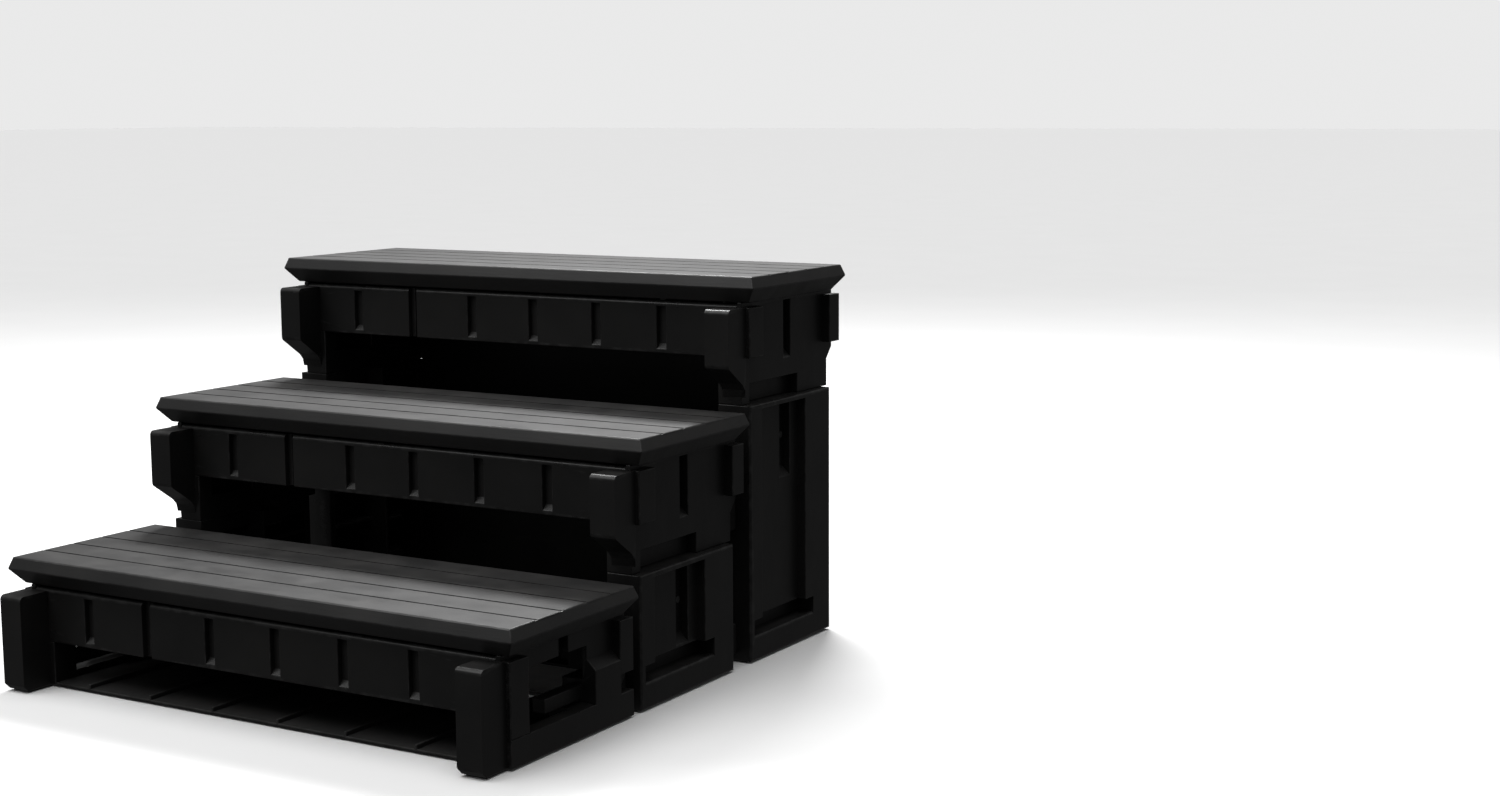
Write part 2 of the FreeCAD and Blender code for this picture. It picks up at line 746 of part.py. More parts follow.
def support_rib():
    """Front and back of the box that stands round a support's channel."""
    half = "(support_channel / 2 + web)"
    return f"(support_channel_at - {half})", f"(support_channel_at + {half})"


def make_support_cells(body, level, side):
    """Rows of hollows from the inside: in front of the channel's box, in it and behind it."""
    rows = 2 * level + 1
    bottom = "(flange_height + base_groove + web)"
    tall = f"(({support_top(level)} - 2 * dowel_half - {bottom} - {rows - 1} * web) / {rows})"
    start, width = across(side, "frame_inner", "field - web")
    box_start, box_width = across(side, "frame_inner - inner_rib", "field - channel_depth - web")
    front = "(setback + support_wall)"
    rib_front, rib_back = support_rib()
    back = "(support_back - support_wall)"
    spans = (
        (start, width, front, rib_front),
        (box_start, box_width, f"{rib_front} + web", f"{rib_back} - web"),
        (start, width, rib_back, back),
    )
    for x, wide, low, high in spans:
        cell = hollow(body, (x, low, bottom), (wide, f"{high} - {low}", tall))
        repeat(body, cell, "Z_Axis", f"{rows - 1} * ({tall} + web)", rows)
    base = "(foot_height + web)"
    hollow(body, (start, front, base), (width, f"{back} - {front}", f"flange_height - web - {base}"))


def link_height_at(level):
    """The middle of the link behind the side frame of a level, above the floor."""
    return f"({surface(level)} + {frame_foot(level)} + link_height / 2 + link_lift)"


def link_heights(level):
    """Where the front of a support takes link pegs."""
    return [link_height_at(below) for below in range(level)]


def make_link(node, level, side, height, back):
    """A tier link: a hollow block from the back of one level to the front of the next, with two pegs."""
    body = make_body(node)
    x = link_x(side)
    length = f"(going + setback - {back})"
    start = f"({x} - link_width / 2)"
    low = f"({height} - link_height / 2)"
    block(body, (start, back, low), ("link_width", length, "link_height"))
    hollow(
        body,
        (f"{start} + rib", f"{back} + rib", low),
        ("link_width - 2 * rib", f"{length} - 2 * rib", "link_height - rib"),
    )
    for place, backwards in ((f"-{back}", False), ("-going - setback", True)):
        peg = circle(body, "XZ_Plane", (x, height, place), "peg_radius - peg_play")
        pad(body, peg, "peg_length - 2 * peg_play", backwards=backwards)
    at_level(body, level, up="0")


def make_links():
    for side in SIDES:
        make_link(f"tier_link_lower_{side}", 0, side, link_height_at(0), "rear_board_face")
        make_link(f"tier_link_base_{side}", 1, side, link_height_at(0), "support_back")
        make_link(f"tier_link_upper_{side}", 1, side, link_height_at(1), "rear_board_face")


def make_tray(level):
    """The base tray between the two sides of a level, with ribs that run front to back."""
    body = make_body(f"base_tray_{LEVELS[level]}")
    back = "rear_board_face" if level == 0 else "support_back"
    long = f"{back} - setback"
    block(body, ("-frame_inner", "setback", "foot_height"), ("2 * frame_inner", long, "tray_thickness"))
    rib_place = ("-seam_out - plank_pitch - rib / 2", "setback", "foot_height")
    ridge = block(body, rib_place, ("rib", long, "tray_thickness + tray_rib"))
    repeat(body, ridge, "X_Axis", f"{PLANK_LINES - 1} * plank_pitch", PLANK_LINES)
    at_level(body, level, up="0")


def make_back_panel():
    """The planked panel that closes the back: below the upper side frames it laps behind the supports."""
    body = make_body("back_panel")
    wide = "(frame_inner + panel_side)"
    narrow = "(frame_inner - panel_gap)"
    step = f"{support_top(2)} - panel_gap"
    top = f"{surface(2)} - shelf_drop - panel_gap"
    shape = outline(
        body, "XZ_Plane", "-support_back",
        (
            (f"-{wide}", "foot_height"),
            (wide, "foot_height"),
            (wide, step),
            (narrow, step),
            (narrow, top),
            (f"-{narrow}", top),
            (f"-{narrow}", step),
            (f"-{wide}", step),
        ),
    )
    pad(body, shape, "panel_thickness", backwards=True)
    groove = hollow(
        body,
        (
            "-seam_out - plank_pitch - riser_groove / 2",
            "support_back + panel_thickness - panel_groove",
            "foot_height + 2 * riser_groove_foot",
        ),
        ("riser_groove", "panel_groove", f"{top} - foot_height - 4 * riser_groove_foot"),
    )
    repeat(body, groove, "X_Axis", f"{PLANK_LINES - 1} * plank_pitch", PLANK_LINES)
    for side in SIDES:
        make_panel_bores(body, side, "support_back + panel_thickness", "panel_thickness")
    at_level(body, 2, up="0")


def panel_screw_x(side):
    return from_plane(side, "(frame_inner + panel_side / 2)")


def make_panel_bores(body, side, face, depth):
    """The column of screw holes that goes forwards from a face near one side of the back."""
    place = (panel_screw_x(side), "panel_screw_low", f"-({face})")
    hole = bore(body, "XZ_Plane", place, "screw_radius", depth)
    repeat(body, hole, "Z_Axis", f"{PANEL_SCREWS - 1} * panel_screw_pitch", PANEL_SCREWS)


def make_box(node, low, size):
    """A plain rectangular piece, placed by its low corner."""
    piece = doc.addObject("Part::Box", node)
    piece.Label = node
    for name, text in zip(("Length", "Width", "Height"), size):
        bind(piece, name, text)
    for axis, text in zip("xyz", low):
        bind(piece, f"Placement.Base.{axis}", text)
    sub_parts[node] = piece


def make_feet():
    """A rubber strip under every piece that stands on the floor; the lowest reach under the posts."""
    for level, name in enumerate(LEVELS):
        front = "(post_bevel - post_reach)" if level == 0 else "setback"
        back = "rear_board_face" if level == 0 else "support_back"
        for side in SIDES:
            start, width = across(side, "post_inner + foot_inset", "post_outer - foot_inset")
            low = (start, f"{front_edge(level)} + {front} + foot_inset", "0")
            size = (width, f"{back} - {front} - 2 * foot_inset", "foot_height")
            make_box(f"foot_strip_{name}_{side}", low, size)


def seam_x(row):
    """Where the seam between a row's two boards is."""
    return from_plane("left" if row == "front" else "right", "seam_out")


def splice_screw_heights():
    return ("splice_screw_z", "-splice_screw_z")


def splice_front(row):
    """The front face of the splice plate behind a row of boards."""
    if row == "front":
        return "(setback + riser_depth)"
    return "(rear_board_face - riser_depth - splice_depth)"


def make_splice(level, row):
    """The plate behind a board seam, screwed to the first rib of both boards."""
    body = make_body(f"splice_plate_{LEVELS[level]}_{row}")
    middle = "(-riser_top - riser_height / 2)"
    low = (f"{seam_x(row)} - splice_width / 2", splice_front(row), f"{middle} - splice_height / 2")
    block(body, low, ("splice_width", "splice_depth", "splice_height"))
    for sign in (1, -1):
        for z in splice_screw_heights():
            x = f"{seam_x(row)} + {sign} * plank_pitch / 2"
            place = (x, f"{middle} + {z}", f"-{splice_front(row)} - splice_depth")
            bore(body, "XZ_Plane", place, "screw_radius", "splice_depth")
    at_level(body, level)


def make_cylinder(radius, length, place, tilt):
    """A cylinder that starts at place and points along the tilted z axis."""
    rod = doc.addObject("Part::Cylinder", "Rod")
    rod.Placement.Rotation = tilt
    bind(rod, "Radius", radius)
    bind(rod, "Height", length)
    for axis, text in zip("xyz", place):
        bind(rod, f"Placement.Base.{axis}", text)
    return rod


def make_screw(place, toward):
    """A pan-head screw: its head sits against place, and its shank points up, forwards or backwards."""
    axis, sign, turn = {"up": ("z", 1, 0), "forwards": ("y", -1, 90), "backwards": ("y", 1, -90)}[toward]
    tilt = FreeCAD.Rotation(FreeCAD.Vector(1, 0, 0), turn)
    index = "xyz".index(axis)
    head_place = list(place)
    head_place[index] = f"{place[index]} - {sign} * screw_head_height"
    screw = doc.addObject("Part::Fuse", "Screw")
    screw.Base = make_cylinder("screw_head", "screw_head_height", head_place, tilt)
    screw.Tool = make_cylinder("screw_radius", "screw_length", place, tilt)
    return screw


def make_group(node, members):
    group = doc.addObject("Part::Compound", node)
    group.Label = node
    group.Links = members
    sub_parts[node] = group


def make_dowels():
    make_group("locating_dowels", [
        make_cylinder(
            "dowel_radius", "2 * dowel_half",
            (dowel_x(side), f"{front_edge(level)} + {y}", f"{support_top(level)} - dowel_half"),
            FreeCAD.Rotation(),
        )
        for level in (1, 2) for side in SIDES for y in dowel_places()
    ])


def make_screws():
    """Every kind of screw is one node."""
    under = f"({THICKNESS} + frame_top_plate)"
    make_group("tread_screws", [
        make_screw((x, f"{front_edge(level)} + {y}", f"{surface(level)} - {under}"), "up")
        for level in range(3) for x, y in screw_places()
    ])
    make_group("rear_board_screws", [
        make_screw(
            (
                from_plane(side, "(riser_half - board_screw_in)"),
                f"{front_edge(level)} + rear_board_face",
                f"{surface(level)} - riser_top - {fall}",
            ),
            "forwards",
        )
        for level in range(3) for side in SIDES for fall in board_screw_falls()
    ])
    make_group("splice_screws", [
        make_screw(
            (
                f"{seam_x(row)} + {sign} * plank_pitch / 2",
                f"{front_edge(level)} + {splice_front(row)} + {behind}",
                f"{surface(level)} - riser_top - riser_height / 2 + {z}",
            ),
            toward,
        )
        for row, behind, toward in (("front", "splice_depth", "forwards"), ("rear", "0", "backwards"))
        for level in range(3) for sign in (1, -1) for z in splice_screw_heights()
    ])
    make_group("panel_screws", [
        make_screw(
            (
                panel_screw_x(side),
                f"{front_edge(2)} + support_back + panel_thickness",
                f"panel_screw_low + {index} * panel_screw_pitch",
            ),
            "forwards",
        )
        for side in SIDES for index in range(PANEL_SCREWS)
    ])


def check_and_export():
    """Every feature is sound, every cut has cut, and every piece is a valid solid or group."""
    doc.recompute()
    failed = [thing.Name for thing in doc.Objects if {"Invalid", "Error"} & set(thing.State)]
    if failed:
        raise RuntimeError(f"failed features: {failed}")
    idle = [after.Name for before, after in cuts if after.Shape.Volume > before.Shape.Volume - LEAST_CUT]
    if idle:
        raise RuntimeError(f"cuts that remove nothing: {idle}")
    os.makedirs("parts", exist_ok=True)
    for node, piece in sub_parts.items():
        shape = piece.Shape
        if shape.isNull() or not shape.isValid():
            raise RuntimeError(f"{node} is not a valid shape")
        shape.exportStep(f"parts/{node}.step")
        print(f"{node}: {len(shape.Solids)} solid(s), {shape.Volume / 1000:.0f} cm3")


def main():
    make_sheet()
    for level in range(3):
        make_tread(level)
        make_tray(level)
        for row in ("front", "rear"):
            make_splice(level, row)
            for piece in ("long", "short"):
                make_board(level, row, piece)
        for side in SIDES:
            make_frame(level, side)
            if level > 0:
                make_support(level, side)
    make_back_panel()
    make_links()
    make_feet()
    make_dowels()
    make_screws()
    check_and_export()


main()
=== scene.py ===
"""Looks for the three-tier spa steps: rounded edges, screws, finishes, floor, light and camera."""
import json
import math

import bmesh
import bpy
from mathutils import Matrix, Vector
from mathutils.bvhtree import BVHTree


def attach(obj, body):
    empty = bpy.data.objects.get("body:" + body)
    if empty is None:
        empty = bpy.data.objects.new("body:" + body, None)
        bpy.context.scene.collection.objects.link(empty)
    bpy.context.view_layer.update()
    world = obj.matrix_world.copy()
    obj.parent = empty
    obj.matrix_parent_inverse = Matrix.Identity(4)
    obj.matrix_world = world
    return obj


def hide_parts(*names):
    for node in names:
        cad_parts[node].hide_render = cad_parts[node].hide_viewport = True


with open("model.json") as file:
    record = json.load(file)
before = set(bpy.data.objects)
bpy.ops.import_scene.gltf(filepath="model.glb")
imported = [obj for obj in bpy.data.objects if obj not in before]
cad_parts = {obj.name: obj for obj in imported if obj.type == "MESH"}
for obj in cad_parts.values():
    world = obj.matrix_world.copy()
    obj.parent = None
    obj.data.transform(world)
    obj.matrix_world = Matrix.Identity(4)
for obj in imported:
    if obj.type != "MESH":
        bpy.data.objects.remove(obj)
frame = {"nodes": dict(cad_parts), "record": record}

MM = 0.001
NODES = frame["nodes"]
SLOT = {part["node"]: part["material_slot"] for part in frame["record"]["subparts"]}
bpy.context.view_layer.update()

# Cleaning a node's mesh: points nearer than WELD become one, and faces that meet at less than FLAT
# become one. After rounding, edges shorter than SPECK are dropped.
WELD = 0.01 * MM
FLAT = math.radians(0.4)
SPECK = 0.005 * MM

# Rounding: its width and steps, the sharpest fold that is left alone, the shortest edge that is
# rounded, and the room beside an edge that its full width needs. Faces with more corners than
# MOST_CORNERS are cut into triangles first.
ROUND = 1.5 * MM
ROUND_STEPS = 3
FOLD = math.radians(32)
SHORTEST = 2 * ROUND
FULL_ROOM = 3 * ROUND
MOST_CORNERS = 4

# Faces broader than BROAD are shaded flat. Narrower ones blend with the faces that touch them,
# where the cosine between the two normals is over BLEND.
BROAD = 3 * MM
BLEND = math.cos(math.radians(40))

# A pan-head screw: its head, thread, point and cross recess. Points farther than HEAD_SIDE from
# its middle line are the head's.
HEAD_RADIUS, HEAD_HEIGHT, HEAD_SIDE = 5.5 * MM, 2.9 * MM, 4 * MM
SHANK_RADIUS, CORE_RADIUS, TIP_RADIUS = 2.45 * MM, 1.9 * MM, 0.3 * MM
THREAD_PITCH, TIP_LENGTH = 1.8 * MM, 3 * MM
RECESS_REACH, RECESS_HALF, RECESS_DEPTH = 2.4 * MM, 0.55 * MM, 1.7 * MM
RING_CORNERS = 20
SCREW_SMOOTH = math.radians(40)

# Shares of the screw's sizes: the flat crown's radius, the dome's curve and height, the rim's
# radius, where on a turn of thread its outer and next inner edges are, and the recess's floor.
CROWN, DOME_CURVE, DOME_HEIGHT, RIM = 0.62, 0.62, 0.75, 0.97
DOME_ANGLES = (90, 68, 46, 24, 6)
THREAD_OUT, THREAD_IN = 0.45, 0.9
FLOOR_REACH, FLOOR_HALF = 0.6, 0.8

# The mix node's sockets for colours.
MIX_A, MIX_B, MIX_RESULT = 6, 7, 2

# The studio: lengths in metres, turns in radians, the sensor and focal length in millimetres. The
# softboxes face AIM from LAMP_DISTANCE away.
FLOOR_HALF_SIDE = 60
AIM = Vector((0.0, 0.0, 0.3))
LAMP_DISTANCE = 4.0
BACKDROP = 0.82
CAMERA_PLACE = (1.9877, -2.4911, 0.8238)
CAMERA_AZIMUTH, CAMERA_PITCH, CAMERA_ROLL = -0.5273, 0.1366, -0.005
SENSOR_WIDTH, FOCAL_LENGTH = 36.0, 51.46
NEAREST_SEEN = 0.05


# ---------------------------------------------------------------- materials
class Nodes:
    """A node tree with short calls for adding nodes and linking them."""

    def __init__(self, tree):
        self.tree = tree

    def add(self, kind, **settings):
        node = self.tree.nodes.new(kind)
        for key, value in settings.items():
            setattr(node, key, value)
        return node

    def put(self, socket, value):
        """Links the socket to an output, or sets its value."""
        if isinstance(value, bpy.types.NodeSocket):
            self.tree.links.new(value, socket)
        else:
            socket.default_value = value

    def remap(self, value, source, target):
        """Turns the range source into the range target."""
        node = self.add("ShaderNodeMapRange")
        self.put(node.inputs["Value"], value)
        for name, number in zip(("From Min", "From Max", "To Min", "To Max"), source + target):
            node.inputs[name].default_value = number
        return node.outputs["Result"]


class Shader(Nodes):
    """A material, with the patterns that the finishes share."""

    def __init__(self, name):
        self.material = bpy.data.materials.new(name)
        self.material.use_nodes = True
        super().__init__(self.material.node_tree)
        self.surface = self.tree.nodes["Principled BSDF"]
        self.geometry = self.add("ShaderNodeNewGeometry")

    def set(self, **values):
        """Links or sets the surface's inputs, with _ for each blank in a name."""
        for name, value in values.items():
            self.put(self.surface.inputs[name.replace("_", " ")], value)

    def noise(self, scale, detail=3.0, stretch=(1, 1, 1), roughness=0.55):
        mapping = self.add("ShaderNodeMapping")
        self.put(mapping.inputs["Vector"], self.geometry.outputs["Position"])
        mapping.inputs["Scale"].default_value = stretch
        noise = self.add("ShaderNodeTexNoise")
        self.put(noise.inputs["Vector"], mapping.outputs["Vector"])
        noise.inputs["Scale"].default_value = scale
        noise.inputs["Detail"].default_value = detail
        noise.inputs["Roughness"].default_value = roughness
        return noise.outputs["Fac"]

    def cells(self, scale):
        cells = self.add("ShaderNodeTexVoronoi", feature="SMOOTH_F1")
        self.put(cells.inputs["Vector"], self.geometry.outputs["Position"])
        cells.inputs["Scale"].default_value = scale
        return cells.outputs["Distance"]

    def math(self, operation, a, b):
        node = self.add("ShaderNodeMath", operation=operation)
        self.put(node.inputs[0], a)
        self.put(node.inputs[1], b)
        return node.outputs["Value"]

    def times(self, a, b):
        return self.math("MULTIPLY", a, b)

    def blend(self, factor, a, b):
        """A colour between a and b."""
        node = self.add("ShaderNodeMix", data_type="RGBA")
        self.put(node.inputs["Factor"], factor)
        self.put(node.inputs[MIX_A], a)
        self.put(node.inputs[MIX_B], b)
        return node.outputs[MIX_RESULT]

    def bump(self, height, strength, distance, below=None):
        """A bump of this depth in metres, on top of the one below it."""
        node = self.add("ShaderNodeBump")
        node.inputs["Strength"].default_value = strength
        node.inputs["Distance"].default_value = distance
        self.put(node.inputs["Height"], height)
        if below is not None:
            self.put(node.inputs["Normal"], below)
        return node.outputs["Normal"]

    def upward(self):
        """1 on what faces up, falling to 0 where the surface slopes 60 degrees."""
        parts = self.add("ShaderNodeSeparateXYZ")
        self.put(parts.inputs["Vector"], self.geometry.outputs["Normal"])
        return self.remap(parts.outputs["Z"], (0.5, 0.95), (0.0, 1.0))


def grey(value, warmth=0.0):
    return (value * (1 + warmth), value, value * (1 - warmth), 1.0)


def resin(name, dark, light, rough, gloss, grain=0.0, dust=0.0):
    """Moulded resin: cloudy colour, dust on top, edges lightened by wear and a painted highlight,
    uneven gloss and a fine skin.
    """
    shader = Shader(name)
    cloud = shader.remap(shader.noise(scale=9.0, detail=4.0), (0.35, 0.65), (0.0, 1.0))
    colour = shader.blend(cloud, grey(dark), grey(light, warmth=0.03))
    patches = shader.remap(shader.noise(scale=23.0, detail=6.0), (0.42, 0.75), (0.0, 1.0))
    dusty = shader.times(shader.times(shader.upward(), patches), dust)
    colour = shader.blend(dusty, colour, grey(0.2, warmth=0.05))
    # Narrow faces along rounded edges turn lighter in patches: part edge wear, part a painted
    # highlight on the edges.
    edge_wear_and_highlight = shader.add("ShaderNodeAttribute", attribute_name="edge_wear_and_highlight").outputs["Fac"]
    edge_scuff_and_sheen_noise = shader.remap(shader.noise(scale=60.0, detail=5.0), (0.45, 0.7), (0.0, 0.3))
    colour = shader.blend(shader.times(edge_wear_and_highlight, edge_scuff_and_sheen_noise), colour, grey(0.07))
    uneven = shader.remap(
        shader.noise(scale=14.0, detail=5.0, stretch=(1.0, 2.5, 1.0)),
        (0.3, 0.7),
        (rough - 0.05, rough + 0.06),
    )
    duller, shinier = shader.times(dusty, 0.5), shader.times(edge_wear_and_highlight, 0.12)
    polish = shader.math("SUBTRACT", duller, shinier)
    normal = shader.bump(shader.cells(scale=700.0), strength=0.15, distance=0.0004)
    if grain:
        streaks = shader.noise(scale=30.0, detail=7.0, stretch=(0.8, 12.0, 12.0), roughness=0.62)
        normal = shader.bump(streaks, grain, distance=0.0006, below=normal)
    waves = shader.noise(scale=6.0, detail=2.0)
    normal = shader.bump(waves, strength=0.2, distance=0.003, below=normal)
    shader.set(
        Base_Color=colour,
        Roughness=shader.math("ADD", uneven, polish),
        Specular_IOR_Level=gloss,
        Normal=normal,
    )
    return shader.material


def rubber(name):
    shader = Shader(name)
    shader.set(
        Base_Color=shader.blend(shader.noise(scale=40.0, detail=4.0), grey(0.008), grey(0.02)),
        Roughness=shader.remap(shader.noise(scale=80.0), (0.3, 0.7), (0.7, 0.9)),
        Specular_IOR_Level=0.3,
        Normal=shader.bump(shader.cells(scale=1500.0), strength=0.3, distance=0.0002),
    )
    return shader.material


def steel(name):
    shader = Shader(name)
    tint = shader.noise(scale=200.0, detail=4.0)
    shader.set(
        Base_Color=shader.blend(tint, grey(0.32), grey(0.5, warmth=0.02)),
        Metallic=1.0,
        Roughness=shader.remap(shader.noise(scale=500.0), (0.3, 0.7), (0.28, 0.5)),
        Normal=shader.bump(shader.noise(scale=900.0), strength=0.1, distance=0.0001),
    )
    return shader.material


MATERIALS = {
    "tread_resin": resin(
        "tread_resin", dark=0.014, light=0.02, rough=0.46, gloss=0.5, grain=0.25, dust=0.06
    ),
    "side_resin": resin("side_resin", dark=0.007, light=0.0105, rough=0.42, gloss=0.36, dust=0.03),
    "inner_resin": resin("inner_resin", dark=0.016, light=0.022, rough=0.65, gloss=0.15),
    "foot_rubber": rubber("foot_rubber"),
    "screw_steel": steel("screw_steel"),
}


# ---------------------------------------------------------------- pieces
def new_object(name, data):
    obj = bpy.data.objects.new(name, data)
    bpy.context.scene.collection.objects.link(obj)
    return obj


def finish_piece(obj, node):
    """The piece takes its node's finish, rides with the steps and stands for that node."""
    obj.data.materials.clear()
    obj.data.materials.append(MATERIALS[SLOT[node]])
    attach(obj, "root")
    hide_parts(node)


def welded(node):
    """A node's mesh as a bmesh, with the points that meet made one."""
    mesh = bmesh.new()
    mesh.from_mesh(NODES[node].data)
    bmesh.ops.remove_doubles(mesh, verts=mesh.verts, dist=WELD)
    return mesh


def clean_mesh(node):
    """A node's mesh as a bmesh with its flat faces joined up again."""
    mesh = welded(node)
    bmesh.ops.dissolve_limit(mesh, angle_limit=FLAT, verts=mesh.verts, edges=mesh.edges)
    bmesh.ops.recalc_face_normals(mesh, faces=mesh.faces)
    return mesh


def is_sharp(edge):
    """True on an outward fold between two faces that is long enough to be rounded."""
    if len(edge.link_faces) != 2 or not edge.is_convex:
        return False
    return edge.calc_face_angle(0) >= FOLD and edge.calc_length() >= SHORTEST


def rounding_share(edge):
    """How much of the full rounding an edge has room for, from 0 to 1."""
    if not is_sharp(edge):
        return 0.0
    length = edge.calc_length()
    start = edge.verts[0].co
    axis = (edge.verts[1].co - start) / length
    room = FULL_ROOM
    for corner in (corner for face in edge.link_faces for corner in face.verts):
        offset = corner.co - start
        away = offset.cross(axis).length
        if away > WELD and -ROUND < offset.dot(axis) < length + ROUND:
            room = min(room, away)
    return room / FULL_ROOM


def moulded(node):
    """A node with its sharp outer edges rounded and its narrow faces marked for a lighter colour:
    edge wear and a painted highlight.
    """
    source = clean_mesh(node)
    shares = source.edges.layers.float.new("bevel_weight_edge")
    for edge in source.edges:
        edge[shares] = rounding_share(edge)
    many_sided = [face for face in source.faces if len(face.verts) > MOST_CORNERS]
    bmesh.ops.triangulate(source, faces=many_sided)
    mesh = bpy.data.meshes.new(node + "_moulded")
    source.to_mesh(mesh)
    surface = BVHTree.FromBMesh(source)
    source.free()
    obj = new_object(node + "_moulded", mesh)
    bevel = obj.modifiers.new("Rounding", "BEVEL")
    bevel.width = ROUND
    bevel.segments = ROUND_STEPS
    bevel.limit_method = "WEIGHT"
    bevel.use_clamp_overlap = False
    bevel.loop_slide = False
    evaluated = obj.evaluated_get(bpy.context.evaluated_depsgraph_get())
    rounded = bpy.data.meshes.new_from_object(evaluated)
    obj.modifiers.clear()
    settle(rounded, surface)
    obj.data = rounded
    # Narrow faces are marked so that the shader lightens them: part edge wear, part painted
    # highlight.
    narrow = [float(breadth(rounded, face) <= BROAD) for face in rounded.polygons]
    rounded.attributes.new("edge_wear_and_highlight", "FLOAT", "FACE").data.foreach_set("value", narrow)
    rounded.shade_smooth()
    set_normals(rounded)
    finish_piece(obj, node)


def settle(rounded, surface):
    """Puts back on the surface the corners that rounding threw more than half its width off."""
    mesh = bmesh.new()
    mesh.from_mesh(rounded)
    for corner in mesh.verts:
        place, _, _, distance = surface.find_nearest(corner.co)
        if distance > ROUND / 2:
            corner.co = place
    bmesh.ops.dissolve_degenerate(mesh, dist=SPECK, edges=mesh.edges)
    mesh.to_mesh(rounded)
    mesh.free()


def breadth(mesh, face):
    """Twice a face's area over its outline: about the width of a long, narrow face."""
    corners = [mesh.vertices[index].co for index in face.vertices]
    around = sum((corner - corners[i - 1]).length for i, corner in enumerate(corners))
    return 2 * face.area / around if around else 0.0


def set_normals(mesh):
    """Broad faces are flat; narrow ones take the mean normal of what they run into."""
    touching = [[] for _ in mesh.vertices]
    faces = [(face.normal.copy(), face.area) for face in mesh.polygons]
    for face in mesh.polygons:
        for corner in face.vertices:
            touching[corner].append(faces[face.index])
    normals = []
    for face in mesh.polygons:
        own = faces[face.index][0]
        if breadth(mesh, face) > BROAD:
            normals += [own] * len(face.vertices)
            continue
        for corner in face.vertices:
            blend = Vector()
            for normal, area in touching[corner]:
                if normal.dot(own) > BLEND:
                    blend += normal * area
            normals.append(blend.normalized() if blend.length else own)
    mesh.normals_split_custom_set(normals)


# ---------------------------------------------------------------- screws
def rounded_middle(points):
    """The mean of these points, rounded so that it sorts the same way each time."""
    return tuple(round(value, 5) for value in sum(points, Vector()) / len(points))


def islands(node):
    """The separate solids of a node, each as a list of its points."""
    mesh = welded(node)
    left = set(mesh.verts)
    groups = []
    while left:
        seed = left.pop()
        group, todo = [seed], [seed]
        while todo:
            for edge in todo.pop().link_edges:
                for other in edge.verts:
                    if other in left:
                        left.remove(other)
                        group.append(other)
                        todo.append(other)
        groups.append([corner.co.copy() for corner in group])
    mesh.free()
    return sorted(groups, key=rounded_middle)


def screw_frame(points):
    """The matrix that puts a screw drawn head up along +Z on these points, and its length."""
    low = Vector([min(point[i] for point in points) for i in range(3)])
    high = Vector([max(point[i] for point in points) for i in range(3)])
    size = high - low
    along = max(range(3), key=lambda i: size[i])
    middle = (low + high) / 2
    across = [i for i in range(3) if i != along]
    head = [
        point for point in points if max(abs(point[i] - middle[i]) for i in across) > HEAD_SIDE
    ]
    sign = 1 if sum(point[along] for point in head) / len(head) > middle[along] else -1
    axis = Vector([sign if i == along else 0 for i in range(3)])
    turn = Vector((0, 0, 1)).rotation_difference(axis).to_matrix().to_4x4()
    top = middle + axis * size[along] / 2
    return Matrix.Translation(top) @ turn, size[along]


def ring(mesh, radius, height):
    corners = []
    for i in range(RING_CORNERS):
        angle = math.tau * i / RING_CORNERS
        x, y = radius * math.cos(angle), radius * math.sin(angle)
        corners.append(mesh.verts.new((x, y, height)))
    return corners


def join_rings(mesh, upper, lower):
    count = len(upper)
    for i in range(count):
        mesh.faces.new((upper[i], lower[i], lower[(i + 1) % count], upper[(i + 1) % count]))


def cross_outline(mesh, reach, half, height):
    """The twelve corners of a cross recess."""
    quarter = ((reach, -half), (reach, half), (half, half))
    corners = []
    for turn in range(4):
        spin = Matrix.Rotation(math.pi / 2 * turn, 2)
        corners += [spin @ Vector(corner) for corner in quarter]
    return [mesh.verts.new((*corner, height)) for corner in corners]


def loop_edges(mesh, loop):
    """The edges round a loop of corners, made where they are missing."""
    found = []
    for i, corner in enumerate(loop):
        pair = (corner, loop[(i + 1) % len(loop)])
        found.append(mesh.edges.get(pair) or mesh.edges.new(pair))
    return found


def dome_rings(mesh):
    """The head's rings, from the edge of its flat crown down to just above its rim."""
    rings = []
    for i, angle in enumerate(math.radians(degrees) for degrees in DOME_ANGLES):
        out = math.cos(angle) * DOME_CURVE + (1 - DOME_CURVE) if i else CROWN
        height = -HEAD_HEIGHT * (1 - math.sin(angle)) * DOME_HEIGHT
        rings.append(ring(mesh, HEAD_RADIUS * out, height))
    return rings


def thread_rings(mesh, length):
    """The shank's rings, from under the head to the tip, with an outer ring on each turn."""
    rings = []
    height = -HEAD_HEIGHT - THREAD_PITCH
    while height - THREAD_PITCH > -length + TIP_LENGTH:
        rings.append(ring(mesh, CORE_RADIUS, height))
        rings.append(ring(mesh, SHANK_RADIUS, height - THREAD_PITCH * THREAD_OUT))
        rings.append(ring(mesh, CORE_RADIUS, height - THREAD_PITCH * THREAD_IN))
        height -= THREAD_PITCH
    rings.append(ring(mesh, TIP_RADIUS, -length))
    return rings


